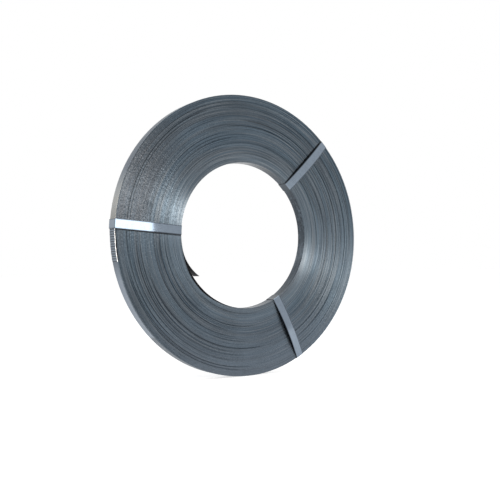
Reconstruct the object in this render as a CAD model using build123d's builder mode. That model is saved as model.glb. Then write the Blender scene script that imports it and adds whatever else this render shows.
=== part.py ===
from build123d import *
import os
from math import asin, atan, cos, degrees, hypot, radians, sin, sqrt, tan

# A ribbon-wound coil of flat steel strapping, tied at three places, standing on its rim.
# The floor is at Z = 0, and the coil touches it at the origin. Its axis runs along Y, and its front end
# faces -Y. All sizes are in millimetres. Angles are in degrees from +X, anticlockwise on the front end.

# The strap and how it is wound
strap_width = 16.0
strap_thickness = 0.5
bore_diameter = 200.0
# The furthest that any turn has crept along the axis
end_creep = 0.3
# Each group of turns, from the bore outwards: how many turns, and its share of that creep, forwards
turn_groups = (
    (4, 0.0),
    (52, 0.8),
    (77, -0.8),
    (48, 0.9),
    (4, 0.0),
)

# The strap's outer end: where it stops, and over how much of the rim it climbs its own thickness
outer_end_angle = 190.5
outer_end_sweep = 70.0
outer_end_root = 0.3

# The ties: strips of thinner strap, each bent round the coil's section
tie_width = 12.0
tie_thickness = 0.4
tie_bend_radius = 0.5
tie_overlap = 42.0
# How much of each half of a tie's front run is rounded into its one gentle arc
bow_rounding = 0.9
# How far each tie's line passes beside the coil's axis, and how far its front run bows off the coil
left_aside = 2.4
left_bow = 1.0
upper_right_aside = -0.3
upper_right_bow = 4.6
lower_right_aside = 7.0
lower_right_bow = 4.6
# Name, direction, aside and bow, and whether the tie crosses the strap's outer end
ties = (
    ("left", 175.5, left_aside, left_bow, True),
    ("upper_right", 44.5, upper_right_aside, upper_right_bow, False),
    ("lower_right", -65.0, lower_right_aside, lower_right_bow, False),
)

# The seals: a short sleeve of sheet, closed over the tie's two ends and notched to grip them
seal_length = 25.0
seal_sheet = 0.6
seal_edge_gap = 0.15
seal_slot = 5.0
seal_corner = 0.5
notch_mouth = 3.6
notch_floor = 1.2
notch_depth = 1.6
notch_spacing = 11.0

# What lies on something else stays this far off it
seat_gap = 0.05

# A tie's section turns this many degrees more than its width needs, before it is cut to width
swing_spare = 2.0

# Worked out from the sizes above
bore_radius = bore_diameter / 2
outer_radius = bore_radius + strap_thickness * sum(turns for turns, creep in turn_groups)
wall_middle = (bore_radius + outer_radius) / 2
coil_front = strap_width / 2
coil_back = -strap_width / 2

# A tie's bend clears the coil's square corner when its flat run stands this far off it
corner_lift = tie_bend_radius - sqrt(tie_bend_radius**2 - (tie_bend_radius - seat_gap) ** 2)
front_lift = max(end_creep, corner_lift) + seat_gap
back_lift = max(end_creep + seat_gap + seal_sheet, corner_lift) + seat_gap

# The middles of the tie's runs: the front one, and the inner and outer layers on the back end
front_run = coil_front + front_lift + tie_thickness / 2
inner_layer = coil_back - back_lift - tie_thickness / 2
outer_layer = inner_layer - tie_thickness - seat_gap
seal_middle = (inner_layer + outer_layer) / 2
seal_depth = 2 * (tie_thickness + seal_sheet + seat_gap) + seat_gap
seal_width = tie_width + 2 * (seal_edge_gap + seal_sheet)

coil_axis = Axis(origin=(0, 0, outer_radius), direction=(0, -1, 0))


def end_plane(angle=0, radius=0, aside=0, along=0):
    """A plane parallel to the coil's ends. Its X runs outwards at the angle, and its Z to the front."""
    c = cos(radians(angle))
    s = sin(radians(angle))
    origin = (radius * c - aside * s, -along, outer_radius + radius * s + aside * c)
    return Plane(origin=origin, x_dir=(c, 0, s), z_dir=(0, -1, 0))


def cross_plane(angle):
    """A plane that holds the coil's axis. Its X runs outwards at the angle, and its Y to the front."""
    c = cos(radians(angle))
    s = sin(radians(angle))
    return Plane(origin=(0, 0, outer_radius), x_dir=(c, 0, s), z_dir=(s, 0, -c))


def rim_point(angle, rise):
    """A point on the rim, or standing off it by the rise."""
    r = outer_radius + rise
    return (r * cos(radians(angle)), r * sin(radians(angle)))


def coil_section():
    """The wall's outline: out along the back ends of the turns, and home along their front ends."""
    back = []
    front = []
    radius = bore_radius
    for turns, share in turn_groups:
        next_radius = radius + turns * strap_thickness
        creep = share * end_creep
        back += [(radius, coil_back + creep), (next_radius, coil_back + creep)]
        front += [(radius, coil_front + creep), (next_radius, coil_front + creep)]
        radius = next_radius
    return back + front[::-1]


def tie_line(bow, crosses_end):
    """The corners of the strip's middle line, from its inner end round the section to its outer end."""
    bore_run = bore_radius - seat_gap - tie_thickness / 2
    rim_run = outer_radius + seat_gap + tie_thickness / 2
    if crosses_end:
        rim_run += strap_thickness
    # The arc that rounds off the bowed run's corner stays about this much lower than the corner
    corner = bow / (1 - bow_rounding / 2)
    return [
        (wall_middle + tie_overlap / 2, inner_layer),
        (bore_run, inner_layer),
        (bore_run, front_run),
        ((bore_run + rim_run) / 2, front_run + corner),
        (rim_run, front_run),
        (rim_run, outer_layer),
        (wall_middle - tie_overlap / 2, outer_layer),
    ]


def bow_radius(line):
    """The radius that rounds most of the bowed run into one gentle arc."""
    start = line[2]
    crown = line[3]
    run = hypot(crown[0] - start[0], crown[1] - start[1])
    half_turn = atan((crown[1] - start[1]) / (crown[0] - start[0]))
    return bow_rounding * run / tan(half_turn)


# The coil: every turn in one turned solid, with the strap's outer end lying on its rim
with BuildPart() as strap_coil:
    with BuildSketch(cross_plane(0)):
        with BuildLine():
            Polyline(*coil_section(), close=True)
        make_face()
    revolve(axis=coil_axis)
    end_start = outer_end_angle - outer_end_sweep
    end_middle = outer_end_angle - outer_end_sweep / 2
    with BuildSketch(end_plane(along=coil_back)):
        with BuildLine():
            ThreePointArc(
                rim_point(end_start, 0),
                rim_point(end_middle, strap_thickness / 2),
                rim_point(outer_end_angle, strap_thickness),
            )
            Line(rim_point(outer_end_angle, strap_thickness), rim_point(outer_end_angle, -outer_end_root))
            ThreePointArc(
                rim_point(outer_end_angle, -outer_end_root),
                rim_point(end_middle, -outer_end_root),
                rim_point(end_start, -outer_end_root),
            )
            Line(rim_point(end_start, -outer_end_root), rim_point(end_start, 0))
        make_face()
    extrude(amount=strap_width)
strap_coil.part.label = "strap_coil"
made = [strap_coil]

# The notches of one seal, two at each edge, centred on it. Their outer halves lie past the edge.
with BuildSketch() as notches:
    with GridLocations(notch_spacing, seal_width, 2, 2):
        Polygon(
            (-notch_mouth / 2, 0),
            (-notch_floor / 2, -notch_depth),
            (notch_floor / 2, -notch_depth),
            (notch_mouth / 2, 0),
            (notch_floor / 2, notch_depth),
            (-notch_floor / 2, notch_depth),
            align=None,
        )

for name, angle, aside, bow, crosses_end in ties:
    # The tie: its section is turned about the axis, so that it hugs bore and rim, and cut to width
    line = tie_line(bow, crosses_end)
    bend = tie_bend_radius + tie_thickness / 2
    swing = 2 * degrees(asin((tie_width / 2 + abs(aside)) / line[1][0])) + swing_spare
    with BuildPart() as tie:
        with BuildSketch(cross_plane(angle - swing / 2)):
            with BuildLine():
                FilletPolyline(*line, radius=[bend, bend, bow_radius(line), bend, bend])
            trace(line_width=tie_thickness)
        revolve(axis=coil_axis, revolution_arc=swing)
        with BuildSketch(end_plane(angle, outer_radius, aside)):
            Rectangle(2 * outer_radius, tie_width)
        extrude(amount=2 * strap_width, both=True, mode=Mode.INTERSECT)
        with BuildSketch(end_plane(angle, wall_middle, aside, seal_middle)):
            add(notches.sketch)
        extrude(amount=seal_depth, both=True, mode=Mode.SUBTRACT)
    tie.part.label = "tie_" + name
    made.append(tie)

    # The seal: a flattened sleeve round both layers, open along a slot that faces the coil
    seal_end = end_plane(angle, wall_middle - seal_length / 2, aside, seal_middle)
    with BuildPart() as seal:
        with BuildSketch(Plane(origin=seal_end.origin, x_dir=seal_end.y_dir, z_dir=seal_end.x_dir)):
            RectangleRounded(seal_width, seal_depth, seal_corner)
            Rectangle(seal_width - 2 * seal_sheet, seal_depth - 2 * seal_sheet, mode=Mode.SUBTRACT)
            with Locations((0, seal_depth / 2)):
                Rectangle(seal_slot, 2 * (seal_sheet + seat_gap), mode=Mode.SUBTRACT)
        extrude(amount=seal_length)
        with BuildSketch(end_plane(angle, wall_middle, aside, seal_middle)):
            add(notches.sketch)
        extrude(amount=seal_depth, both=True, mode=Mode.SUBTRACT)
    seal.part.label = "seal_" + name
    made.append(seal)

os.makedirs("parts", exist_ok=True)
for piece in made:
    export_step(piece.part, "parts/" + piece.part.label + ".step")
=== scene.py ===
from collections import namedtuple
from math import cos, hypot, pi, radians, sin, sqrt

import bmesh
import bpy
import numpy as np
from bpy.props import FloatProperty, FloatVectorProperty, IntProperty, PointerProperty
from mathutils import Matrix, Vector


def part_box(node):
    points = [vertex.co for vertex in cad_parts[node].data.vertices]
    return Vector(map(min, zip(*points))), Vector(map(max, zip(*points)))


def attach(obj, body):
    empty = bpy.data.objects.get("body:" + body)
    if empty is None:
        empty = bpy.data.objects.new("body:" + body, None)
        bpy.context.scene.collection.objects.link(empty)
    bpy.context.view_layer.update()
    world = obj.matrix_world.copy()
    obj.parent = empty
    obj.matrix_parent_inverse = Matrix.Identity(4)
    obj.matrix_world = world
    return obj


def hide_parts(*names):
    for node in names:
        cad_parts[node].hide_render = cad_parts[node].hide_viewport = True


bl_info = {
    "name": "Strapping Coil",
    "version": (1, 0, 0),
    "blender": (4, 5, 0),
    "location": "3D View > Sidebar > Strapping Coil",
    "description": "A ribbon-wound coil of steel strapping: its turns, strap ends, ties, seals and studio",
    "category": "Object",
}

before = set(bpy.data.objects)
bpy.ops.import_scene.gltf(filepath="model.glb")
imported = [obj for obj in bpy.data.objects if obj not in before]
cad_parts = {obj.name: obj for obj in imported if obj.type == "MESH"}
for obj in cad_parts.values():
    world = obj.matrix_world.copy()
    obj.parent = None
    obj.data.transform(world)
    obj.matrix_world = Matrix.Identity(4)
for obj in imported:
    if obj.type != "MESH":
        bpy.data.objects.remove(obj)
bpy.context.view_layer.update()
coil_low, coil_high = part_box("strap_coil")

MM = 0.001

# The coil stands on its rim: its axis runs along Y at this height, and its front end faces -Y.
# Angles run round it from +X, anticlockwise on the front end
AXIS_HEIGHT = round((coil_low.z + coil_high.z) / 2, 4)
AXIS_POINT = Vector((0, 0, AXIS_HEIGHT))

# What lies on something else stands this far off it
SEAT_GAP = 0.05 * MM
# Points this close are one, and a test for a place may be this far off
WELD = 0.002 * MM
NEAR = 0.01 * MM

# Each group of turns, from the bore outwards: how many turns, and its share of the creep, forwards
TURN_GROUPS = ((4, 0.0), (52, 0.8), (77, -0.8), (48, 0.9), (4, 0.0))

# How turns wander: how many go together, how much, and how fast shorter waves fade
WANDER_LAYERS = ((9, 1.0, 0.9), (3, 0.5, 0.5), (0.7, 0.4, 0.25))
WANDER_WAVES = 9
WANDER_FADE = 1.5
# The shares of a turn's creep from its group and from its own wandering
GROUP_SHARE = 0.45
WANDER_SHARE = 0.3
# The creep dies out over this many turns next to bore and rim, under the ties' bends
QUIET_TURNS = 3
# The front and the back end: the side along Y, and the seed of the wandering
END_SEEDS = ((-1, 5), (1, 11))

# Turns that have sunk between their neighbours: radius in mm, from and to which angle, and depth
SUNK_TURNS = (
    (190.4, 183, 238, 0.5), (189.8, -24, 34, 0.5), (183.3, 218, 264, 0.8), (183.4, 58, 128, 0.4),
    (183.1, -4, 36, 0.5), (179.6, 196, 270, 1.1), (178.9, 60, 132, 0.5), (177.2, -62, 2, 0.7),
    (176.7, 112, 190, 1.1), (175.8, 186, 226, 1.1), (174.9, 44, 98, 0.7), (173.9, -24, 50, 0.9),
    (173.5, 124, 182, 0.8), (170.7, 188, 262, 0.5), (166.0, -60, -26, 0.8), (164.5, 184, 236, 0.9),
    (163.6, 232, 268, 0.6), (162.3, -8, 40, 0.4), (159.8, 186, 262, 0.6), (157.6, -62, 88, 1.2),
    (154.7, 200, 276, 1.3), (152.0, -34, 2, 0.7), (150.5, -2, 98, 1.0), (144.8, 228, 268, 0.4),
    (140.3, -34, 12, 0.6), (140.0, 184, 262, 0.6), (137.6, 60, 122, 0.4), (135.0, -16, 28, 0.5),
    (134.8, 96, 176, 0.5), (131.9, 180, 252, 1.0), (129.6, -36, -4, 0.5), (126.9, 6, 124, 0.6),
    (124.9, 186, 274, 1.0), (121.2, -10, 52, 0.9), (120.3, 58, 236, 0.4), (114.9, -34, -6, 0.4),
    (112.4, -6, 128, 0.4), (107.6, 228, 276, 0.4),
)
# A depth of 1 in that list, the share of it on a sunk turn's neighbours, and over what angle it fades
SUNK_DEPTH = 0.8 * MM
SUNK_BESIDE = 0.4
SUNK_FADE = radians(14)
# On the back end, sunk turns lie at this radius and angle less those in the list
BACK_RADIUS = 292.5
BACK_ANGLE = 140

# Turns whose edges are rubbed bright: radius in mm, and from and to which angle
RUBBED_TURNS = (
    (184.3, 186, 262), (174.2, 190, 240), (161.2, 196, 262), (158.4, 62, 120),
    (150.6, -40, 30), (156.9, -34, 36), (141.2, -30, 14), (133.2, 190, 250),
    (146.4, 100, 170), (168.2, 104, 166), (126.2, -24, 4), (181.2, 40, 90),
)
RUBBED_FADE = 12

# Turns of the front end painted black as shade, in the gaps beside the loose first turns and beside
# the outer end: first and last from the bore, from and to which angle, and over how many degrees that fades
SHADED_TURNS = ((0, 5, 184, 258, 30), (181, 184, 177, 190, 1))

# The inner turns are wiped clean and the outer ones dusty: over which radii each comes in
CLEAN_TURNS = (128 * MM, 106 * MM)
DUSTY_TURNS = (110 * MM, 135 * MM)
# Low down, the ends are made lighter: between which heights that comes in, and how much
LOW_LIGHTENING = (100 * MM, 10 * MM, 0.0, 0.56)

# The row of finger marks on the front end: its angle, its middle, from mark to mark, and where it
# fades out beside and along the row
SMUDGE_ANGLE = radians(165.4)
SMUDGE_RADIUS = 151 * MM
SMUDGE_PITCH = 4.6 * MM
SMUDGE_SIDES = (radians(1.3), radians(0.8))
SMUDGE_ENDS = (7.5 * MM, 6.5 * MM)

# Where the scuffed patch on the front end fades in and out round the coil, and in from the bore
SCUFF_START = (radians(126), radians(144))
SCUFF_END = (radians(177.5), radians(176.5))
SCUFF_INSIDE = (136 * MM, 158 * MM)

# The painted shadow line at the lower edge of the first two ties: its sides, from that edge, and where
# it fades in outwards from the axis
TIE_SHADOW_START = (-0.2 * MM, 0.1 * MM)
TIE_SHADOW_END = (2.2 * MM, 1.3 * MM)
TIE_SHADOW_OUTWARDS = (0.0, 10 * MM, 0.0, 0.85)

# Where the painted reflection on the rim's lower left fades in and out
RIM_REFLECTION_START = (radians(-171), radians(-162))
RIM_REFLECTION_END = (radians(-136.2), radians(-136.8))

# The strap's outer end, measured back from its tip: its ribs and where they stop, where it has a
# painted pale reflection, and along the axis, where its front edge is bare with a painted highlight
RIB_PITCH = 3.1 * MM
RIB_DEPTH = 0.05 * MM
RIBBED = (50 * MM, 44 * MM)
WARM_REFLECTION_START = (52 * MM, 54 * MM)
WARM_REFLECTION_END = (122 * MM, 76 * MM)
BARE_HIGHLIT_EDGE = (-7.7 * MM, -8.1 * MM)

# The outer end crosses under the left tie at this angle, and past it strays this far forwards
CROSSING = radians(179)
OUTER_STRAY = 1.1 * MM
OUTER_SEAT = 0.06 * MM
# The inner end is this much narrower than the strap, and gets painted shade where it is sprung by this much
INNER_NARROWER = 0.4 * MM
INNER_SHADED = 2 * MM

# Half of a tie's width, and the band of painted shade inside its rounded edges, from outside and from inside
TIE_HALF = 6 * MM
TIE_EDGE_SHADE = (0.55 * MM, 1.1 * MM)
# A tie is darkened with painted shade where it lies in the bore: by its radius, and by its place along the
# axis
TIE_IN_BORE = (100.5 * MM, 99.9 * MM)
TIE_BEHIND_FRONT = (-7.8 * MM, -7.2 * MM)
# How much of each half of a tie's front run is rounded into its one gentle arc
BOW_ROUNDING = 0.9

# How far the tongues in a seal's notches are bent inwards
TAB_LEAN = radians(38)
# How long the bars that cut the notches are
CUTTER_LENGTH = 6 * MM

# How much the sharp edges of strap, ties and seals are rounded
STRAP_EDGE = 0.06 * MM
TIE_EDGE = 0.07 * MM
SEAL_EDGE = 0.1 * MM

# Steps of the meshes: cuts across a strip, and steps round the strap's outer and inner end, along a
# tie's front run, and along its other runs and each of its bends
STRIP_CUTS = 7
OUTER_END_STEPS = 140
INNER_END_STEPS = 30
FRONT_RUN_STEPS = 30
RUN_STEPS = 6

# The ties: direction, how far the line passes beside the axis, how far the front run bows off the
# coil, how far the rim run stands off it, for the strap's outer end that it crosses, and how much
# lower one edge of the bow lies, as a share of it
TiePlace = namedtuple("TiePlace", "name angle aside bow stand_off tilt")
TIES = (
    TiePlace("left", radians(175.5), 2.4 * MM, 1.0 * MM, 0.5 * MM, 0.0),
    TiePlace("upper_right", radians(44.5), -0.3 * MM, 4.6 * MM, 0.0, 0.25),
    TiePlace("lower_right", radians(-65.0), 7.0 * MM, 4.6 * MM, 0.0, 0.25),
)

# The lamps: name, place, what each one faces, width and height, brightness, where 1 looks white,
# and colour
WHITE = (1.0, 1.0, 1.0)
WARM_WHITE = (1.0, 0.92, 0.83)
LAMPS = (
    ("overhead", (0.2, -0.3, 2.2), (0, 0, 0.2), (1.8, 1.8), 1.0, WHITE),
    ("front_right", (0.4, -1.5, 0.31), (0.4, 0, 0.31), (0.38, 0.2), 3.75, WHITE),
    ("front_high", (0.08, -1.6, 0.51), (0, 0, 0.2), (0.24, 0.24), 67.0, WARM_WHITE),
    ("back_left", (-0.62, 1.36, 0.66), (0, 0, 0.25), (0.5, 0.4), 1.4, WHITE),
)
FLOOR_SIZE = 30


def a_length(name, description, default):
    return FloatProperty(name=name, description=description, default=default, unit="LENGTH")


def an_angle(name, description, degrees):
    return FloatProperty(name=name, description=description, default=radians(degrees), unit="ROTATION")


def a_colour(name, description, *default):
    return FloatVectorProperty(name=name, description=description, default=default, subtype="COLOR")


class StrapSettings(bpy.types.PropertyGroup):
    """The strap and the coil that it is wound into"""

    bore_radius: a_length("Bore radius", "Radius inside the first turn", 0.1)
    width: a_length("Strap width", "Width of the strap, and of the coil", 0.016)
    thickness: a_length("Strap thickness", "Thickness of one turn", 0.0005)
    turns: IntProperty(name="Turns", description="How many turns the coil has, a multiple of 5", default=185)
    steps: IntProperty(name="Steps", description="Steps of the mesh round the coil", default=128)
    creep: a_length("Creep", "How far a turn may creep along the axis", 0.0003)
    outer_end: an_angle("Outer end", "Angle where the strap's outer end lies", 190.5)
    outer_sweep: an_angle("Outer sweep", "Over how much of the rim the outer end climbs", 70)
    inner_root: an_angle("Inner root", "Angle where the inner end leaves the bore", 193.0)
    inner_tip: an_angle("Inner tip", "Angle of the inner end's tip", 216.6)
    inner_spring: a_length("Inner spring", "How far the inner end's tip springs off the bore", 0.0078)
    edge_colour: a_colour("Edge colour", "Blued, slit edges of the turns", 0.114, 0.156, 0.198)
    deep_colour: a_colour("Deep colour", "Turns with darker blueing", 0.071, 0.103, 0.137)
    warm_colour: a_colour("Warm colour", "Turns with a film of dust and wax", 0.11, 0.133, 0.158)
    # Also painted as shade in the gaps between turns and in the sunk turns' grooves
    groove_colour: a_colour("Groove colour", "Down between the turns", 0.025, 0.037, 0.05)
    worn_colour: a_colour("Worn colour", "Where the blueing is rubbed thin", 0.235, 0.265, 0.29)
    dust_colour: a_colour("Dust colour", "Dust on the scuffed patch", 0.098, 0.104, 0.117)
    # Bare specks, partly painted glints of the lamp's highlight
    burr_glint_colour: a_colour("Burr colour", "Bare specks in the scuffed patch", 0.235, 0.235, 0.245)
    flat_colour: a_colour("Flat colour", "Blued flat of the strap, on the rim", 0.078, 0.1, 0.13)
    # A painted reflection on the rim's lower left; it also lightens the ends low down and the outer end's
    # ribbed stretch
    light_patch_colour: a_colour("Waxed colour", "Waxed stretches of the rim and the ends", 0.21, 0.252, 0.305)
    # A painted reflection of warm light on the rim above the left tie
    warm_reflection_colour: a_colour("Pale colour", "Strap rubbed pale near its outer end", 0.235, 0.235, 0.22)
    # Bare front edge, with a painted highlight
    bare_highlight_colour: a_colour("Bare colour", "Bare front edge of the outer end", 0.8, 0.81, 0.82)
    # Painted shade: black in the gaps beside the turns and the strap's ends, and painted shadow along the
    # ties
    shade_colour: a_colour("Grime colour", "Old oil along turns and ties", 0.01, 0.01, 0.012)
    # The bore's oiled flat, darkened with painted shade
    bore_oil_and_shade_colour: a_colour("Bore colour", "Oiled flat of the first turn, in the bore", 0.066, 0.084, 0.106)


class TieSettings(bpy.types.PropertyGroup):
    """The ties bent round the coil's section"""

    width: a_length("Width", "Width of a tie", 2 * TIE_HALF)
    thickness: a_length("Thickness", "Thickness of a tie", 0.0004)
    bend: a_length("Bend", "Radius of the bend's inside", 0.0005)
    overlap: a_length("Overlap", "How much the two ends overlap", 0.042)
    colour: a_colour("Colour", "Waxed steel of the ties", 0.215, 0.26, 0.315)


class SealSettings(bpy.types.PropertyGroup):
    """The seals that hold the ties' ends"""

    length: a_length("Length", "Length along the tie", 0.025)
    sheet: a_length("Sheet", "Thickness of the seal's sheet", 0.0006)
    slot: a_length("Slot", "Gap between the folded flaps", 0.005)
    corner: a_length("Corner", "Radius of the seal's long edges", 0.0005)
    edge_gap: a_length("Edge gap", "Between a tie's edge and the seal", 0.00015)
    notch_spacing: a_length("Notch spacing", "From notch to notch along an edge", 0.011)
    notch_mouth: a_length("Notch mouth", "A notch's width at the edge", 0.0036)
    notch_floor: a_length("Notch floor", "A notch's width at its floor", 0.0012)
    notch_depth: a_length("Notch depth", "How far a notch cuts in", 0.0016)
    colour: a_colour("Colour", "Bright zinc of the seals", 0.29, 0.31, 0.335)


class StudioSettings(bpy.types.PropertyGroup):
    """The studio: floor, lamps and camera"""

    camera_place: FloatVectorProperty(
        name="Camera",
        description="Where the camera stands",
        default=(-0.5707, -0.9045, 0.1482),
        subtype="TRANSLATION",
    )
    heading: an_angle("Heading", "Camera's turn from +Y towards +X", 32.753)
    pitch: an_angle("Pitch", "Camera's tilt upwards", 1.281)
    roll: an_angle("Roll", "Camera's roll", -0.824)
    lens: FloatProperty(name="Lens", description="Focal length in mm, on a 36 mm sensor", default=55.8)
    room_light: FloatProperty(name="Room light", description="Level of the light from all round", default=0.5)
    floor_light: FloatProperty(name="Floor light", description="How much the floor is whitened", default=0.6)
    floor_colour: a_colour("Floor", "Pale floor", 0.86, 0.86, 0.86)


def deselect():
    if bpy.context.mode != "OBJECT":
        bpy.ops.object.mode_set(mode="OBJECT")
    bpy.ops.object.select_all(action="DESELECT")


def pick(piece):
    """Selects one piece alone, and makes it the active one."""
    deselect()
    bpy.context.view_layer.objects.active = piece
    piece.select_set(True)


def edit(kind, test):
    """In edit mode, selects the elements of that kind that pass the test, and nothing else."""
    if bpy.context.mode != "EDIT_MESH":
        bpy.ops.object.mode_set(mode="EDIT")
    bpy.ops.mesh.select_mode(type=kind)
    bpy.ops.mesh.select_all(action="DESELECT")
    mesh = bpy.context.edit_object.data
    model = bmesh.from_edit_mesh(mesh)
    for element in {"EDGE": model.edges, "FACE": model.faces}[kind]:
        element.select_set(bool(test(element)))
    model.select_flush_mode()
    bmesh.update_edit_mesh(mesh)


def runs_along(edge, axis):
    """Whether an edge runs along X (0), Y (1) or Z (2)."""
    a, b = (v.co for v in edge.verts)
    return abs(b[axis] - a[axis]) > 0.99 * (b - a).length


def size_primitive(name, size):
    """Names the primitive just added, one metre across, and gives it its size."""
    piece = bpy.context.object
    piece.name = piece.data.name = name
    piece.scale = size
    bpy.ops.object.transform_apply(location=True, rotation=True, scale=True)
    return piece


def add_rectangle(name, place, size, turn=(0, 0, 0)):
    deselect()
    bpy.ops.mesh.primitive_plane_add(size=1, location=place, rotation=turn)
    return size_primitive(name, (*size, 1))


def add_block(name, place, size, turn=(0, 0, 0)):
    deselect()
    bpy.ops.mesh.primitive_cube_add(size=1, location=place, rotation=turn)
    return size_primitive(name, size)


def close_up():
    """Merges doubles, turns every face outwards and leaves edit mode."""
    bpy.ops.mesh.select_all(action="SELECT")
    bpy.ops.mesh.remove_doubles(threshold=WELD)
    bpy.ops.mesh.normals_make_consistent(inside=False)
    bpy.ops.object.mode_set(mode="OBJECT")


def rows_of(elements, key):
    """One vector from each vertex or face, as rows."""
    rows = np.empty(len(elements) * 3, np.float32)
    elements.foreach_get(key, rows)
    return rows.reshape(-1, 3).astype(float)


def points_of(piece):
    return rows_of(piece.data.vertices, "co")


def reach_of(points):
    """How far each point is from the coil's axis."""
    return np.hypot(points[:, 0], points[:, 2] - AXIS_HEIGHT)


def angle_of(points):
    """Each point's angle round the coil's axis."""
    return np.arctan2(points[:, 2] - AXIS_HEIGHT, points[:, 0])


def move_points(piece, points):
    piece.data.vertices.foreach_set("co", points.astype(np.float32).ravel())
    piece.data.update()


def mark_points(piece, name, values):
    """Keeps a number at each vertex, for the materials."""
    mark = piece.data.attributes.new(name, "FLOAT", "POINT")
    mark.data.foreach_set("value", np.asarray(values, np.float32))


def apply_modifier(piece, kind, **settings):
    pick(piece)
    modifier = piece.modifiers.new(kind, kind)
    for key, value in settings.items():
        setattr(modifier, key, value)
    bpy.ops.object.modifier_apply(modifier=modifier.name)


def cut_away(piece, cutter):
    """Cuts a shape out of a piece, and removes the cutter."""
    before = len(piece.data.vertices)
    apply_modifier(piece, "BOOLEAN", object=cutter, operation="DIFFERENCE", solver="EXACT")
    if len(piece.data.vertices) == before:
        raise RuntimeError("nothing was cut out of " + piece.name)
    bpy.data.objects.remove(cutter)


def round_edges(piece, width):
    sharp = {"limit_method": "ANGLE", "angle_limit": radians(40)}
    apply_modifier(piece, "BEVEL", width=width, segments=2, use_clamp_overlap=True, **sharp)


def finish_piece(piece, slot, *materials, node=None, smooth=30, flats=True):
    """Smooths a piece, gives it its materials, and ties it to the frame."""
    if not piece.data.polygons:
        raise RuntimeError(piece.name + " has no faces")
    pick(piece)
    bpy.ops.object.shade_smooth_by_angle(angle=radians(smooth))
    if flats:
        apply_modifier(piece, "WEIGHTED_NORMAL", keep_sharp=True)
    for material in materials:
        piece.data.materials.append(material)
    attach(piece, "root")
    if node:
        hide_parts(node)


class Nodes:
    """The node tree of a material or a world, built link by link."""

    def __init__(self, owner):
        owner.use_nodes = True
        self.tree = owner.node_tree
        self.tree.nodes.clear()

    def feed(self, socket, value):
        """Links a socket to another node's output, or gives it a plain value."""
        if isinstance(value, bpy.types.NodeSocket):
            self.tree.links.new(value, socket)
        else:
            socket.default_value = value

    def add(self, kind, inputs, **settings):
        node = self.tree.nodes.new(kind)
        for key, value in settings.items():
            setattr(node, key, value)
        for key, value in inputs.items():
            self.feed(node.inputs[key], value)
        return node

    def math(self, operation, a, b=0.0, c=0.0):
        return self.add("ShaderNodeMath", {0: a, 1: b, 2: c}, operation=operation).outputs[0]

    def times(self, a, b):
        return self.math("MULTIPLY", a, b)

    def distance(self, a, b):
        return self.math("ABSOLUTE", self.math("SUBTRACT", a, b))

    def waves(self, value, pitch):
        """A sine wave of that pitch."""
        return self.math("SINE", self.times(value, 2 * pi / pitch))

    def ramp(self, value, low, high, start=0.0, end=1.0):
        """Takes low..high to start..end, and holds it there outside."""
        return self.add("ShaderNodeMapRange", {0: value, 1: low, 2: high, 3: start, 4: end}).outputs[0]

    def between(self, value, start, end):
        """1 between two bands, each given from where it is 0 to where it is 1."""
        return self.times(self.ramp(value, *start), self.ramp(value, *end))

    def vector(self, operation, a, b=(0, 0, 0)):
        node = self.add("ShaderNodeVectorMath", {0: a, 1: b}, operation=operation)
        return node.outputs["Value" if operation == "LENGTH" else "Vector"]

    def split(self, vector):
        return self.add("ShaderNodeSeparateXYZ", {0: vector}).outputs

    def join(self, **parts):
        """A vector from its X, Y and Z, each 0 where it isn't given."""
        return self.add("ShaderNodeCombineXYZ", parts).outputs[0]

    def mapping(self, vector, **inputs):
        return self.add("ShaderNodeMapping", {"Vector": vector, **inputs}).outputs[0]

    def noise(self, vector, scale, detail=2, rough=0.5):
        inputs = {"Vector": vector, "Scale": scale, "Detail": detail, "Roughness": rough}
        return self.add("ShaderNodeTexNoise", inputs).outputs["Fac"]

    def bump(self, height, strength, distance):
        inputs = {"Height": height, "Strength": strength, "Distance": distance}
        return self.add("ShaderNodeBump", inputs).outputs[0]

    def mark(self, name):
        """A number that is kept at the vertices."""
        return self.add("ShaderNodeAttribute", {}, attribute_name=name).outputs["Fac"]

    def seen_white(self):
        """1 where it is seen directly, mirrored or through glass, and 0 where it only gives light."""
        path = self.add("ShaderNodeLightPath", {}).outputs
        seen = self.math("MAXIMUM", path["Is Camera Ray"], path["Is Glossy Ray"])
        return self.math("MAXIMUM", seen, path["Is Transmission Ray"])

    def layers(self, tone, *layers):
        """Lays colours over a tone, one after the other, each by its share."""
        for share, colour in layers:
            node = self.add("ShaderNodeMix", {0: share}, data_type="RGBA")
            for key, value in ((6, tone), (7, colour)):
                plain = not isinstance(value, bpy.types.NodeSocket)
                self.feed(node.inputs[key], (*value, 1) if plain else value)
            tone = node.outputs[2]
        return tone


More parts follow.
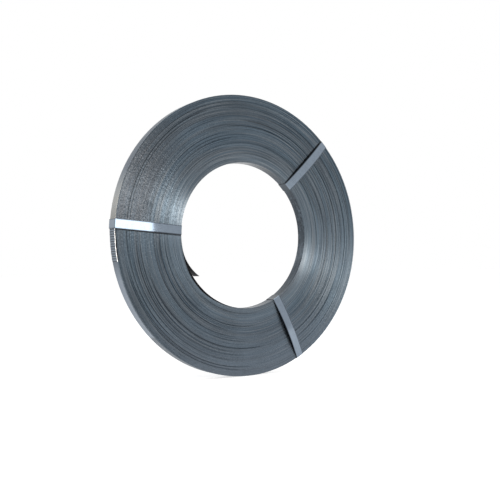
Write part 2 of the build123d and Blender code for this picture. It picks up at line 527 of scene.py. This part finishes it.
class Material(Nodes):
    """A material of one shader, with patterns that lie round the coil's axis."""

    def __init__(self, name):
        self.material = bpy.data.materials.new(name)
        super().__init__(self.material)
        self.shader = self.add("ShaderNodeBsdfPrincipled", {})
        self.add("ShaderNodeOutputMaterial", {"Surface": self.shader.outputs["BSDF"]})

    def finish(self, **inputs):
        """Links or sets the shader's sockets, named with _ for each space, and gives the material."""
        for key, value in inputs.items():
            self.feed(self.shader.inputs[key.replace("_", " ")], value)
        return self.material

    def place(self):
        return self.add("ShaderNodeTexCoord", {}).outputs["Object"]

    def centred(self):
        """The place measured from the middle of the coil."""
        return self.mapping(self.place(), Location=tuple(-AXIS_POINT))

    def polar(self):
        """Distance from the coil's axis, the way outwards as a unit vector, and the place along the axis."""
        x, y, z = self.split(self.centred())
        flat = self.join(X=x, Z=z)
        return self.vector("LENGTH", flat), self.vector("NORMALIZE", flat), y

    def angle(self, way):
        """The angle of a way outwards."""
        x, y, z = self.split(way)
        return self.math("ARCTAN2", z, x)

    def on_front(self, along):
        """1 on the front end, and 0 on the back end."""
        return self.ramp(along, 0.0, -1 * MM)

    def streaks(self, way, across, around, fine, detail=2):
        """Noise drawn out round the coil: how often it changes around it, and how fine it is across."""
        long = self.vector("MULTIPLY", way, (around,) * 3)
        return self.noise(self.vector("ADD", long, self.join(Y=self.times(across, fine))), 1.0, detail)

    def tie_grime(self, tie):
        """A thin painted shadow on the coil's ends, along a tie's lower edge."""
        x, y, z = self.split(self.mapping(self.centred(), Rotation=(0, tie.angle, 0)))
        edge = self.math("SUBTRACT", z, tie.aside + TIE_HALF)
        near = self.between(edge, TIE_SHADOW_START, TIE_SHADOW_END)
        return self.times(near, self.ramp(x, *TIE_SHADOW_OUTWARDS))

    def smudges(self, radius, way, along):
        """A short row of finger marks on the front end."""
        aside = self.ramp(self.distance(self.angle(way), SMUDGE_ANGLE), *SMUDGE_SIDES)
        row = self.times(aside, self.ramp(self.distance(radius, SMUDGE_RADIUS), *SMUDGE_ENDS))
        dots = self.ramp(self.waves(radius, SMUDGE_PITCH), -0.2, 0.5)
        return self.times(self.times(row, dots), self.on_front(along))

    def scuffs(self, radius, way, along):
        """Where the front end is scuffed and dusty: a patch above the left tie, which it ends under, and
        which lies under the lamp's highlight.
        """
        patch = self.between(self.angle(way), SCUFF_START, SCUFF_END)
        patch = self.times(patch, self.ramp(radius, *SCUFF_INSIDE))
        return self.times(patch, self.on_front(along))


def shade(colour, level):
    """A darker or lighter shade of a colour."""
    return tuple(level * part for part in colour)


def strap_edges(strap):
    """The blued, slit edges of the turns, on the coil's two ends."""
    m = Material("blued strap edges")
    radius, way, along = m.polar()
    turn = m.math("DIVIDE", radius, strap.thickness)
    number = m.math("FLOOR", turn)
    into_turn = m.math("PINGPONG", turn, 0.5)
    # The blueing differs between groups of turns, over a few turns, and from turn to turn
    groups = m.streaks(way, number, 0.8, 0.05, 2)
    bands = m.streaks(way, number, 0.8, 0.24, 1)
    single = m.streaks(way, number, 1.1, 0.83, 1)
    # Fine speckle and grain over all, and broad patches
    place = m.place()
    speckle = m.noise(place, 430, 1, 0.6)
    grain = m.noise(place, 760, 1, 0.6)
    patches = m.noise(place, 22, 3, 0.6)
    clean = m.ramp(radius, *CLEAN_TURNS)
    dusty = m.ramp(radius, *DUSTY_TURNS)
    scuffed = m.scuffs(radius, way, along)
    grime = m.mark("grime")
    tone = m.layers(
        strap.edge_colour,
        (m.ramp(groups, 0.42, 0.62), strap.warm_colour),
        (m.ramp(bands, 0.5, 0.34, 0.0, 0.9), strap.deep_colour),
        (m.ramp(single, 0.56, 0.74, 0.0, 0.85), strap.worn_colour),
        (m.ramp(single, 0.45, 0.32, 0.0, 0.95), strap.groove_colour),
        (m.times(m.mark("rubbed"), 0.6), strap.worn_colour),
        (m.ramp(patches, 0.5, 0.7, 0.0, 0.2), strap.warm_colour),
        (m.times(m.ramp(speckle, 0.5, 0.38, 0.0, 0.18), dusty), strap.groove_colour),
        (m.times(scuffed, 0.5), strap.dust_colour),
        (m.times(m.ramp(grain, 0.5, 0.38, 0.0, 0.4), scuffed), strap.groove_colour),
        # Bright specks: bare burrs, and partly painted glints in the highlight
        (m.times(m.ramp(grain, 0.54, 0.68, 0.0, 0.3), scuffed), strap.burr_glint_colour),
        (m.times(clean, 0.16), strap.worn_colour),
        # Lighter low down on the ends
        (m.ramp(m.split(place)["Z"], *LOW_LIGHTENING), strap.light_patch_colour),
        # Painted shade in the gaps between turns, and in the sunk turns' grooves
        (m.ramp(into_turn, 0.03, 0.14, 0.7, 0.0), strap.groove_colour),
        (m.times(m.mark("sunk"), 0.7), strap.groove_colour),
        (m.times(m.smudges(radius, way, along), 0.6), strap.groove_colour),
        # Painted shade in the gaps beside the loose first turns and beside the outer end
        (grime, strap.shade_colour),
        # Painted shadow along the lower edges of the first two ties
        *((m.tie_grime(tie), strap.shade_colour) for tie in TIES[:2]),
    )
    # Clean turns are glossier, and those painted with shade dull
    gloss = m.ramp(m.math("ADD", speckle, patches), 0.75, 1.25, 0.42, 0.54)
    gloss = m.math("MULTIPLY_ADD", clean, -0.1, gloss)
    gloss = m.math("MAXIMUM", gloss, m.times(grime, 0.8))
    # The edges are drawn round the coil, so a lamp's light fans out from the axis
    tangent = m.add("ShaderNodeTangent", {}, direction_type="RADIAL", axis="Y")
    return m.finish(
        Base_Color=tone,
        Roughness=gloss,
        Normal=m.bump(m.times(speckle, dusty), 1.0, 0.19 * MM),
        Tangent=tangent.outputs[0],
        Metallic=0.85,
        Anisotropic=1.0,
        Anisotropic_Rotation=0.25,
    )


def strap_flats(strap, at_end=False):
    """The blued and waxed flat of the strap, on the rim, with painted reflections. Near its outer end it is
    ribbed, with a painted highlight on its bare front edge.
    """
    m = Material("rubbed strap end" if at_end else "blued strap flats")
    radius, way, along = m.polar()
    bands = m.streaks(way, along, 1.6, 90, 2)
    rolled = m.streaks(way, along, 5.0, 1800, 3)
    mottle = m.noise(m.place(), 160, 3, 0.6)
    waxed = m.between(m.angle(way), RIM_REFLECTION_START, RIM_REFLECTION_END)
    tone = m.layers(
        strap.edge_colour,
        (m.ramp(bands, 0.3, 0.7), strap.flat_colour),
        (m.ramp(bands, 0.3, 0.6, 0.55, 1.0), strap.flat_colour),
        (m.ramp(rolled, 0.5, 0.75, 0.0, 0.5), strap.worn_colour),
        (m.ramp(mottle, 0.52, 0.72, 0.0, 0.3), strap.edge_colour),
        # Painted reflection on the rim's lower left
        (m.times(waxed, 0.9), strap.light_patch_colour),
    )
    relief = m.times(rolled, 0.01 * MM)
    if at_end:
        from_tip = m.mark("from_tip")
        ribbed = m.ramp(from_tip, *RIBBED)
        ribs = m.times(m.ramp(m.waves(from_tip, RIB_PITCH), -0.4, 0.8), ribbed)
        pale = m.between(from_tip, WARM_REFLECTION_START, WARM_REFLECTION_END)
        tone = m.layers(
            tone,
            (m.times(ribbed, 0.7), strap.light_patch_colour),
            (ribs, strap.groove_colour),
            # Painted reflection on the rim above the left tie
            (m.times(pale, m.ramp(mottle, 0.2, 0.5, 0.6, 0.95)), strap.warm_reflection_colour),
            # Painted highlight on the bare front edge
            (m.times(ribbed, m.ramp(along, *BARE_HIGHLIT_EDGE)), strap.bare_highlight_colour),
        )
        relief = m.math("MULTIPLY_ADD", ribs, RIB_DEPTH, relief)
    return m.finish(
        Base_Color=tone,
        Roughness=m.ramp(m.math("ADD", mottle, rolled), 0.7, 1.3, 0.36, 0.44),
        Normal=m.bump(relief, 0.25, 1.0),
        Metallic=0.9,
    )


def strap_bore(strap):
    """The first turn's flat inside the bore, oily and darkened with painted shade."""
    m = Material("oiled and shaded strap in the bore")
    radius, way, along = m.polar()
    bands = m.streaks(way, along, 2.2, 260, 2)
    mottle = m.noise(m.place(), 120, 3, 0.6)
    grime = m.mark("grime")
    tone = m.layers(
        strap.bore_oil_and_shade_colour,
        (m.ramp(bands, 0.35, 0.65), strap.groove_colour),
        (m.ramp(mottle, 0.5, 0.72, 0.0, 0.5), strap.edge_colour),
        # Deeper painted shade where marked: the sprung inner end and the gap at the first turns
        (grime, strap.shade_colour),
    )
    gloss = m.ramp(m.math("ADD", mottle, bands), 0.7, 1.3, 0.18, 0.34)
    return m.finish(
        Base_Color=tone,
        Roughness=m.math("MULTIPLY_ADD", grime, 0.4, gloss),
        Normal=m.bump(mottle, 0.4, 0.02 * MM),
        Metallic=0.5,
        Specular_IOR_Level=0.25,
    )


def tie_steel(tie):
    """The ties' bright waxed steel, rolled along its length, with painted shade on its edges and in the bore.
    """
    m = Material("waxed tie steel")
    radius, way, along = m.polar()
    across = m.mark("across")
    place = m.place()
    slow = m.vector("MULTIPLY", place, (14,) * 3)
    rolled = m.noise(m.vector("ADD", slow, m.join(Y=m.times(across, 2600))), 1.0)
    mottle = m.noise(place, 260, 3, 0.6)
    outside, inside = (tie.width / 2 - step for step in TIE_EDGE_SHADE)
    in_bore = m.times(m.ramp(radius, *TIE_IN_BORE), m.ramp(along, *TIE_BEHIND_FRONT))
    tone = m.layers(
        tie.colour,
        (m.ramp(mottle, 0.4, 0.68, 0.0, 0.6), shade(tie.colour, 0.82)),
        (m.ramp(rolled, 0.5, 0.72, 0.0, 0.4), shade(tie.colour, 1.25)),
        # Painted shade on the rounded edges
        (m.ramp(m.math("ABSOLUTE", across), inside, outside, 0.0, 0.85), shade(tie.colour, 0.3)),
        # Painted shade where the tie lies in the bore
        (m.times(in_bore, 0.9), shade(tie.colour, 0.2)),
    )
    return m.finish(
        Base_Color=tone,
        Roughness=m.ramp(m.math("ADD", mottle, rolled), 0.7, 1.3, 0.05, 0.09),
        Normal=m.bump(rolled, 0.15, 0.004 * MM),
        Metallic=1.0,
    )


def seal_zinc(seal):
    """The seals' zinc-plated sheet, with its spangle."""
    m = Material("zinc seal sheet")
    place = m.place()
    spangle = m.add("ShaderNodeTexVoronoi", {"Vector": place, "Scale": 900.0}).outputs["Distance"]
    mottle = m.noise(place, 300, 3, 0.6)
    dull = shade(seal.colour, 0.7)
    tone = m.layers(
        seal.colour,
        (m.ramp(mottle, 0.4, 0.7, 0.0, 0.4), dull),
        (m.ramp(spangle, 0.2, 0.7, 0.0, 0.2), dull),
    )
    return m.finish(
        Base_Color=tone,
        Roughness=m.ramp(mottle, 0.3, 0.7, 0.2, 0.32),
        Normal=m.bump(mottle, 0.3, 0.02 * MM),
        Metallic=1.0,
    )


def turn_wander(turns, seed):
    """How each turn wanders, as waves round the coil: one row a turn, cosines then sines."""
    random = np.random.default_rng(seed)
    rows = np.zeros((turns, WANDER_WAVES, 2))
    reach = np.arange(-30, 31)
    for spread, weight, fade in WANDER_LAYERS:
        layer = random.normal(size=rows.shape)
        bell = np.exp(-0.5 * (reach / spread) ** 2)
        layer = np.apply_along_axis(np.convolve, 0, layer, bell / sqrt((bell**2).sum()), "same")
        rows += weight * layer / (1 + fade * np.arange(WANDER_WAVES))[None, :, None] ** WANDER_FADE
    return rows


def within(angle, start, end, fade):
    """1 between two angles in degrees and 0 outside, fading over an angle in radians."""
    half = radians(end - start) / 2
    off = np.abs((angle - radians(start + end) / 2 + pi) % (2 * pi) - pi)
    return (half - off) / fade


def turn_at(strap, radius):
    """The turn at a radius in mm, counted from the bore."""
    return int((radius * MM - strap.bore_radius) / strap.thickness)


def end_relief(strap, turn, angle, seed, on_back):
    """How far each turn's end stands forward at each angle, in metres, and how deep it is sunk, 0 to 1."""
    rows = turn_wander(strap.turns, seed)[turn]
    phase = angle[:, None] * np.arange(WANDER_WAVES)
    wander = (rows[:, :, 0] * np.cos(phase) + rows[:, :, 1] * np.sin(phase)).sum(1)
    shares = np.array([share for turns, share in TURN_GROUPS for _ in range(turns)])
    group = shares[turn] * (-1 if on_back else 1)
    relief = strap.creep * (GROUP_SHARE * group + WANDER_SHARE * wander)
    sunk = np.zeros(len(turn))
    for radius, start, end, depth in SUNK_TURNS:
        if on_back:
            radius, start, end = BACK_RADIUS - radius, BACK_ANGLE - end, BACK_ANGLE - start
        here = np.clip(within(angle, start, end, SUNK_FADE) + 0.5, 0, 1)
        here = here * here * (3 - 2 * here)
        turns_off = np.abs(turn - turn_at(strap, radius))
        beside = np.select([turns_off == 0, turns_off == 1], [1.0, SUNK_BESIDE], 0.0)
        sunk = np.maximum(sunk, here * depth * beside)
    from_wall = np.minimum(turn, strap.turns - 1 - turn)
    most = strap.creep * np.clip((from_wall - 1) / QUIET_TURNS, 0, 1)
    return np.minimum(relief, most) - sunk * SUNK_DEPTH, np.clip(sunk, 0, 1)


def end_shade(turn, angle):
    """How much painted shade the front edges of the turns get, 0 to 1."""
    grime = np.zeros(len(turn))
    for first, last, start, end, fade in SHADED_TURNS:
        reach = (last - first + 1) * np.clip(within(angle, start, end, radians(fade)), 0, 1)
        grime = np.maximum(grime, (turn >= first) * np.clip(reach - (turn - first), 0, 1))
    return grime


def end_rubbing(strap, turn, angle):
    """How rubbed the edges of the turns are, 0 to 1."""
    rubbed = np.zeros(len(turn))
    for radius, start, end in RUBBED_TURNS:
        here = np.clip(within(angle, start, end, radians(RUBBED_FADE)), 0, 1)
        rubbed = np.maximum(rubbed, (turn == turn_at(strap, radius)) * here)
    return rubbed


def draw_out(strap):
    """Draws every second turn out a little, so that each turn gets an edge of its own."""
    def in_odd_turn(face):
        centre = face.calc_center_median() - AXIS_POINT
        return int((hypot(centre.x, centre.z) - strap.bore_radius) / strap.thickness) % 2 == 1

    for side in (-1, 1):
        edit("FACE", lambda face: face.normal.y * side > 0.9 and in_odd_turn(face))
        step = (0, side * strap.creep, 0)
        bpy.ops.mesh.extrude_region_move(TRANSFORM_OT_translate={"value": step})


def creep(coil, strap):
    """Moves every turn's edges along the axis, and marks where they are sunk, painted with shade and rubbed.
    """
    points = points_of(coil)
    radius = reach_of(points)
    angle = angle_of(points)
    sunk, grime, rubbed = np.zeros((3, len(points)))
    for side, seed in END_SEEDS:
        out = points[:, 1] * side - strap.width / 2
        on_end = out > -NEAR
        drawn = out[on_end] > strap.creep / 2
        # Two turns meet at a ring of points: drawn points belong to the odd one, others to the even one
        ring = np.round((radius[on_end] - strap.bore_radius) / strap.thickness).astype(int)
        turn = np.where(ring % 2 == drawn, ring, ring - 1)
        relief, depth = end_relief(strap, turn, angle[on_end], seed, side > 0)
        points[on_end, 1] = side * (strap.width / 2 + relief)
        sunk[on_end] = depth
        rubbed[on_end] = end_rubbing(strap, turn, angle[on_end])
        if side < 0:
            grime[on_end] = end_shade(turn, angle[on_end])
    move_points(coil, points)
    for name, values in (("sunk", sunk), ("grime", grime), ("rubbed", rubbed)):
        mark_points(coil, name, values)


class COIL_OT_wind(bpy.types.Operator):
    """Winds the coil: its section is turned about the axis, and each turn creeps a little along it"""

    bl_idname = "coil.wind"
    bl_label = "Wind the strap"

    def execute(self, context):
        strap = context.scene.strap
        wall = strap.turns * strap.thickness
        middle = strap.bore_radius + wall / 2
        coil = add_rectangle("wound_strap", (middle, 0, AXIS_HEIGHT), (wall, strap.width))
        edit("FACE", lambda face: True)
        bpy.ops.mesh.delete(type="ONLY_FACE")
        # The turns are cut in two steps, because one step cuts an edge 100 times at most
        for parts in (5, strap.turns // 5):
            edit("EDGE", lambda edge: runs_along(edge, 0))
            bpy.ops.mesh.subdivide(number_cuts=parts - 1)
        edit("EDGE", lambda edge: runs_along(edge, 1))
        bpy.ops.mesh.subdivide(number_cuts=1)
        bpy.ops.mesh.select_all(action="SELECT")
        bpy.ops.mesh.spin(steps=strap.steps, angle=2 * pi, center=AXIS_POINT, axis=(0, 1, 0))
        close_up()
        draw_out(strap)
        bpy.ops.object.mode_set(mode="OBJECT")
        creep(coil, strap)
        looks = strap_edges(strap), strap_flats(strap), strap_bore(strap)
        finish_piece(coil, "blued_strap", *looks, node="strap_coil", smooth=40, flats=False)
        # The rim gets the second material and the bore the third
        reach = reach_of(rows_of(coil.data.polygons, "center"))
        on_rim = reach > strap.bore_radius + wall - 0.3 * strap.thickness
        in_bore = reach < strap.bore_radius + 0.1 * strap.thickness
        index = np.select([on_rim, in_bore], [1, 2], 0).astype(np.int32)
        coil.data.polygons.foreach_set("material_index", index)
        return {"FINISHED"}


def spin_strip(name, strap, inside, width, sweep, steps):
    """A strip of strap lying round the axis from angle 0 anticlockwise, its inner face at that radius."""
    place = (inside + strap.thickness / 2, 0, AXIS_HEIGHT)
    strip = add_rectangle(name, place, (strap.thickness, width))
    edit("EDGE", lambda edge: runs_along(edge, 1))
    bpy.ops.mesh.subdivide(number_cuts=STRIP_CUTS)
    bpy.ops.mesh.select_all(action="SELECT")
    bpy.ops.mesh.spin(steps=steps, angle=sweep, center=AXIS_POINT, axis=(0, 1, 0))
    close_up()
    round_edges(strip, STRAP_EDGE)
    return strip


def wrap_strip(piece, start, sweep, lift, shift):
    """Turns a spun strip to its start, lifts and shifts it by the share of the way to its tip, and gives
    each point's distance from the tip."""
    points = points_of(piece)
    turned = angle_of(points)
    share = np.clip(turned / sweep, 0, 1)
    radius = reach_of(points) + lift(share)
    angle = start + turned
    along = points[:, 1] + shift(share)
    moved = np.stack([radius * np.cos(angle), along, AXIS_HEIGHT + radius * np.sin(angle)], 1)
    move_points(piece, moved)
    return (sweep - turned) * radius


class COIL_OT_strap_ends(bpy.types.Operator):
    """Lays the strap's outer end on the rim and springs its inner end off the bore"""

    bl_idname = "coil.strap_ends"
    bl_label = "Lay the strap's two ends"

    def execute(self, context):
        strap = context.scene.strap
        inside = strap.bore_radius + (strap.turns - 1) * strap.thickness
        sweep = strap.outer_sweep
        outer = spin_strip("outer_end", strap, inside, strap.width, sweep, OUTER_END_STEPS)
        crossing = (strap.outer_end - CROSSING) / sweep

        def climb(share):
            return strap.thickness * (0.02 + 0.96 * share)

        def stray(share):
            """Past the left tie the end lies forward of the turns, and its edge is a little wavy."""
            past = np.clip((share - 1 + crossing) / crossing, 0, 1)
            wave = 0.8 + 0.2 * np.cos(31 * past) + 0.1 * np.sin(53 * past)
            return OUTER_SEAT - OUTER_STRAY * wave * np.clip(4 * past, 0, 1)

        from_tip = wrap_strip(outer, strap.outer_end - sweep, sweep, climb, stray)
        mark_points(outer, "from_tip", from_tip)
        finish_piece(outer, "blued_strap", strap_flats(strap, at_end=True))

        width = strap.width - INNER_NARROWER
        sweep = strap.inner_tip - strap.inner_root
        inner = spin_strip("inner_end", strap, strap.bore_radius, width, sweep, INNER_END_STEPS)

        def spring(share):
            return -strap.thickness * 0.5 - strap.inner_spring * share**1.7

        wrap_strip(inner, strap.inner_root, sweep, spring, np.zeros_like)
        sprung = strap.bore_radius - reach_of(points_of(inner))
        # Painted shade on the sprung inner end's shaded underside
        mark_points(inner, "grime", np.clip(sprung / INNER_SHADED, 0, 0.9))
        finish_piece(inner, "blued_strap", bpy.data.materials["oiled and shaded strap in the bore"])
        return {"FINISHED"}


def seal_layers(context):
    """How far back a tie's inner and outer layers lie in a seal, and the middle of a seal at angle 0."""
    strap, tie, seal = context.scene.strap, context.scene.tie, context.scene.seal
    inner_layer = strap.width / 2 + strap.creep + SEAT_GAP + seal.sheet + SEAT_GAP + tie.thickness / 2
    outer_layer = inner_layer + tie.thickness + SEAT_GAP
    reach = strap.bore_radius + strap.turns * strap.thickness / 2
    return inner_layer, outer_layer, Vector((reach, (inner_layer + outer_layer) / 2, AXIS_HEIGHT))


def join_pieces(pieces):
    deselect()
    for piece in pieces:
        piece.select_set(True)
    bpy.context.view_layer.objects.active = pieces[0]
    bpy.ops.object.join()
    return pieces[0]


def notch_places(context):
    """The middles of a seal's four notches, on its edges, and the side each one lies on."""
    tie, seal = context.scene.tie, context.scene.seal
    middle = seal_layers(context)[2]
    edge = tie.width / 2 + seal.edge_gap + seal.sheet
    for along in (-1, 1):
        for aside in (-1, 1):
            yield middle + Vector((along * seal.notch_spacing / 2, 0, aside * edge)), aside


def add_notch_cutter(context):
    """Four six-sided bars that stand at a seal's edges, to cut its notches and the tie's."""
    seal = context.scene.seal
    bars = []
    for place, aside in notch_places(context):
        deselect()
        bpy.ops.mesh.primitive_cylinder_add(
            vertices=6, radius=1, depth=CUTTER_LENGTH, location=place, rotation=(pi / 2, pi / 2, 0)
        )
        bar = bpy.context.object
        bpy.ops.object.transform_apply(location=True, rotation=True, scale=True)
        # Two corners are the notch's mouth, and the four others its floor
        points = points_of(bar) - np.array(place)
        at_mouth = np.abs(points[:, 2]) < 0.1
        width = np.where(at_mouth, seal.notch_mouth, seal.notch_floor)
        points[:, 0] = np.sign(points[:, 0]) * width / 2
        points[:, 2] = np.where(at_mouth, 0, np.sign(points[:, 2]) * seal.notch_depth)
        move_points(bar, points + np.array(place))
        bars.append(bar)
    return join_pieces(bars)


def add_tabs(context, outside):
    """The tongues of sheet that the notching bent inwards, one in each notch, hinged at the outer face."""
    seal = context.scene.seal
    # Each tongue is a little smaller than its notch and thinner than the sheet
    size = (0.9 * seal.notch_floor, 0.8 * seal.sheet, 0.9 * seal.notch_depth)
    tabs = []
    for place, aside in notch_places(context):
        way = Vector((0, -sin(TAB_LEAN), aside * cos(TAB_LEAN)))
        hinge = Vector((place.x, outside - 0.55 * seal.sheet, place.z - aside * seal.notch_depth))
        tabs.append(add_block("seal_tab", hinge + way * size[2] / 2, size, (aside * TAB_LEAN, 0, 0)))
    return tabs


def bow_height(share, bow):
    """How far a tie's front run stands off at share -1 to 1 along it: arched, and straight at its ends."""
    share = np.abs(share)
    corner = bow / (1 - BOW_ROUNDING / 2)
    arch = bow - corner * share**2 / (2 * BOW_ROUNDING)
    return np.where(share > BOW_ROUNDING, corner * (1 - share), arch)


def place_round(points, angle, aside):
    """Takes points from angle 0 to a direction round the axis, hugging the turns across their width."""
    beside = points[:, 2] - AXIS_HEIGHT + aside
    out = np.sqrt(points[:, 0] ** 2 - beside**2)
    c, s = cos(angle), sin(angle)
    height = AXIS_HEIGHT + out * s + beside * c
    return np.stack([out * c - beside * s, points[:, 1], height], 1)


def bend_strip(name, tie, corners):
    """Bends a strip from corner to corner, run by run. The corners are X and Y at the axis' height."""
    bend = tie.bend + tie.thickness / 2
    strip = add_rectangle(name, (*corners[0], AXIS_HEIGHT), (tie.width, tie.thickness), (0, pi / 2, 0))
    edit("EDGE", lambda edge: runs_along(edge, 2))
    bpy.ops.mesh.subdivide(number_cuts=STRIP_CUTS)
    bpy.ops.mesh.select_all(action="SELECT")
    last = len(corners) - 2
    for run, (start, end) in enumerate(zip(corners, corners[1:])):
        way = (end - start).normalized()
        length = (end - start).length - bend * ((run > 0) + (run < last))
        steps = FRONT_RUN_STEPS if run == 2 else RUN_STEPS
        for _ in range(steps):
            step = (way * length / steps).to_3d()
            bpy.ops.mesh.extrude_region_move(TRANSFORM_OT_translate={"value": step})
        if run < last:
            centre = end - way * bend + Vector((-way.y, way.x)) * bend
            bpy.ops.mesh.spin(steps=RUN_STEPS, angle=-pi / 2, center=(*centre, AXIS_HEIGHT), axis=(0, 0, 1))
    close_up()
    return strip


class COIL_OT_ties(bpy.types.Operator):
    """Bends the three ties round the coil's section, run by run"""

    bl_idname = "coil.ties"
    bl_label = "Bend the ties"

    def execute(self, context):
        strap, tie = context.scene.strap, context.scene.tie
        inner_layer, outer_layer, middle = seal_layers(context)
        steel = tie_steel(tie)
        stand_off = SEAT_GAP + tie.thickness / 2
        bore_run = strap.bore_radius - stand_off
        front_run = -(strap.width / 2 + strap.creep + stand_off)
        for one in TIES:
            rim_run = strap.bore_radius + strap.turns * strap.thickness + stand_off + one.stand_off
            corners = (
                (middle.x + tie.overlap / 2, inner_layer),
                (bore_run, inner_layer),
                (bore_run, front_run),
                (rim_run, front_run),
                (rim_run, outer_layer),
                (middle.x - tie.overlap / 2, outer_layer),
            )
            strip = bend_strip("tie_strip_" + one.name, tie, [Vector(corner) for corner in corners])
            cut_away(strip, add_notch_cutter(context))
            round_edges(strip, TIE_EDGE)
            points = points_of(strip)
            across = points[:, 2] - AXIS_HEIGHT
            on_front = points[:, 1] < front_run + tie.thickness
            share = np.clip((points[:, 0] - (bore_run + rim_run) / 2) / ((rim_run - bore_run) / 2), -1, 1)
            lean = 1 - one.tilt * (0.5 + across / tie.width)
            points[:, 1] -= np.where(on_front, bow_height(share, one.bow) * lean, 0)
            move_points(strip, place_round(points, one.angle, one.aside))
            mark_points(strip, "across", across)
            finish_piece(strip, "tie_strap", steel, node="tie_" + one.name)
        return {"FINISHED"}


class COIL_OT_seals(bpy.types.Operator):
    """Folds a notched seal over each tie's two ends, on the coil's back"""

    bl_idname = "coil.seals"
    bl_label = "Fold the seals"

    def execute(self, context):
        tie, seal = context.scene.tie, context.scene.seal
        inner_layer, outer_layer, middle = seal_layers(context)
        depth = outer_layer - inner_layer + tie.thickness + 2 * (seal.sheet + SEAT_GAP)
        width = tie.width + 2 * (seal.sheet + seal.edge_gap)
        first = add_block("seal_sleeve", middle, (seal.length, depth, width))
        edit("FACE", lambda face: abs(face.normal.x) > 0.9)
        bpy.ops.mesh.inset(thickness=seal.sheet, depth=0)
        bpy.ops.mesh.bridge_edge_loops()
        outside = width / 2 - NEAR
        edit("EDGE", lambda e: runs_along(e, 0) and abs(e.verts[0].co.z - AXIS_HEIGHT) > outside)
        bpy.ops.mesh.bevel(offset=seal.corner, segments=4, affect="EDGES")
        close_up()
        slot_size = (2 * seal.length, 2 * seal.sheet, seal.slot)
        cut_away(first, add_block("slot_cutter", middle - Vector((0, depth / 2, 0)), slot_size))
        cut_away(first, add_notch_cutter(context))
        join_pieces([first] + add_tabs(context, middle.y + depth / 2))
        round_edges(first, SEAL_EDGE)
        zinc = seal_zinc(seal)
        for one in TIES:
            sleeve = first.copy()
            sleeve.data = first.data.copy()
            sleeve.name = sleeve.data.name = "seal_sleeve_" + one.name
            context.scene.collection.objects.link(sleeve)
            turn = Matrix.Rotation(-one.angle, 4, "Y")
            shift = Matrix.Translation((0, 0, one.aside))
            to_axis = Matrix.Translation(AXIS_POINT)
            sleeve.data.transform(to_axis @ turn @ shift @ to_axis.inverted())
            finish_piece(sleeve, "seal_sheet", zinc, node="seal_" + one.name)
        bpy.data.objects.remove(first)
        return {"FINISHED"}


def add_lamp(name, place, target, size, level, colour):
    """A soft box. The level is its brightness, where 1 looks white."""
    deselect()
    bpy.ops.object.light_add(type="AREA", location=place)
    lamp = bpy.context.object
    lamp.name = name
    lamp.rotation_euler = (Vector(target) - Vector(place)).to_track_quat("-Z", "Y").to_euler()
    lamp.data.shape = "RECTANGLE"
    lamp.data.size, lamp.data.size_y = size
    lamp.data.energy = level * pi * size[0] * size[1]
    lamp.data.color = colour


class COIL_OT_studio(bpy.types.Operator):
    """Sets up the pale floor, the soft lamps, the white surroundings and the camera"""

    bl_idname = "coil.studio"
    bl_label = "Set up the studio"

    def execute(self, context):
        scene, studio = context.scene, context.scene.studio
        scene.view_settings.view_transform = "Standard"
        deselect()
        bpy.ops.mesh.primitive_plane_add(size=FLOOR_SIZE, location=(0, 0, 0))
        floor = bpy.context.object
        floor.name = "floor"
        m = Material("pale floor")
        floor.data.materials.append(m.finish(
            Base_Color=(*studio.floor_colour, 1),
            Roughness=0.9,
            Specular_IOR_Level=0.0,
            Emission_Color=(*WHITE, 1),
            Emission_Strength=m.times(m.seen_white(), studio.floor_light),
        ))

        scene.world = bpy.data.worlds.new("white studio")
        w = Nodes(scene.world)
        level = w.ramp(w.seen_white(), 0.0, 1.0, studio.room_light, 1.0)
        back = w.add("ShaderNodeBackground", {"Color": (*WHITE, 1), "Strength": level})
        w.add("ShaderNodeOutputWorld", {"Surface": back.outputs[0]})

        for lamp in LAMPS:
            add_lamp(*lamp)

        deselect()
        bpy.ops.object.camera_add(location=studio.camera_place)
        camera = bpy.context.object
        camera.data.lens = studio.lens
        camera.data.clip_start = 10 * MM
        turn = (
            Matrix.Rotation(-studio.heading, 3, "Z")
            @ Matrix.Rotation(pi / 2 + studio.pitch, 3, "X")
            @ Matrix.Rotation(studio.roll, 3, "Z")
        )
        camera.rotation_euler = turn.to_euler()
        scene.camera = camera
        return {"FINISHED"}


class COIL_PT_panel(bpy.types.Panel):
    """Lists the steps that make the coil"""

    bl_label = "Strapping Coil"
    bl_idname = "COIL_PT_panel"
    bl_space_type = "VIEW_3D"
    bl_region_type = "UI"
    bl_category = "Strapping Coil"

    def draw(self, context):
        for group, steps in (
            (context.scene.studio, ("coil.studio",)),
            (context.scene.strap, ("coil.wind", "coil.strap_ends")),
            (context.scene.tie, ("coil.ties",)),
            (context.scene.seal, ("coil.seals",)),
        ):
            box = self.layout.box()
            for key in group.bl_rna.properties.keys():
                if key not in ("rna_type", "name"):
                    box.prop(group, key)
            for step in steps:
                box.operator(step)


SETTINGS = {"strap": StrapSettings, "tie": TieSettings, "seal": SealSettings, "studio": StudioSettings}
STEPS = (COIL_OT_studio, COIL_OT_wind, COIL_OT_strap_ends, COIL_OT_ties, COIL_OT_seals, COIL_PT_panel)


def register():
    for cls in (*SETTINGS.values(), *STEPS):
        bpy.utils.register_class(cls)
    for name, group in SETTINGS.items():
        setattr(bpy.types.Scene, name, PointerProperty(type=group))


def unregister():
    for name in SETTINGS:
        delattr(bpy.types.Scene, name)
    for cls in (*STEPS, *SETTINGS.values()):
        bpy.utils.unregister_class(cls)


def main():
    register()
    bpy.ops.coil.studio()
    bpy.ops.coil.wind()
    bpy.ops.coil.strap_ends()
    bpy.ops.coil.ties()
    bpy.ops.coil.seals()
    bpy.context.view_layer.update()


if __name__ == "__main__":
    main()
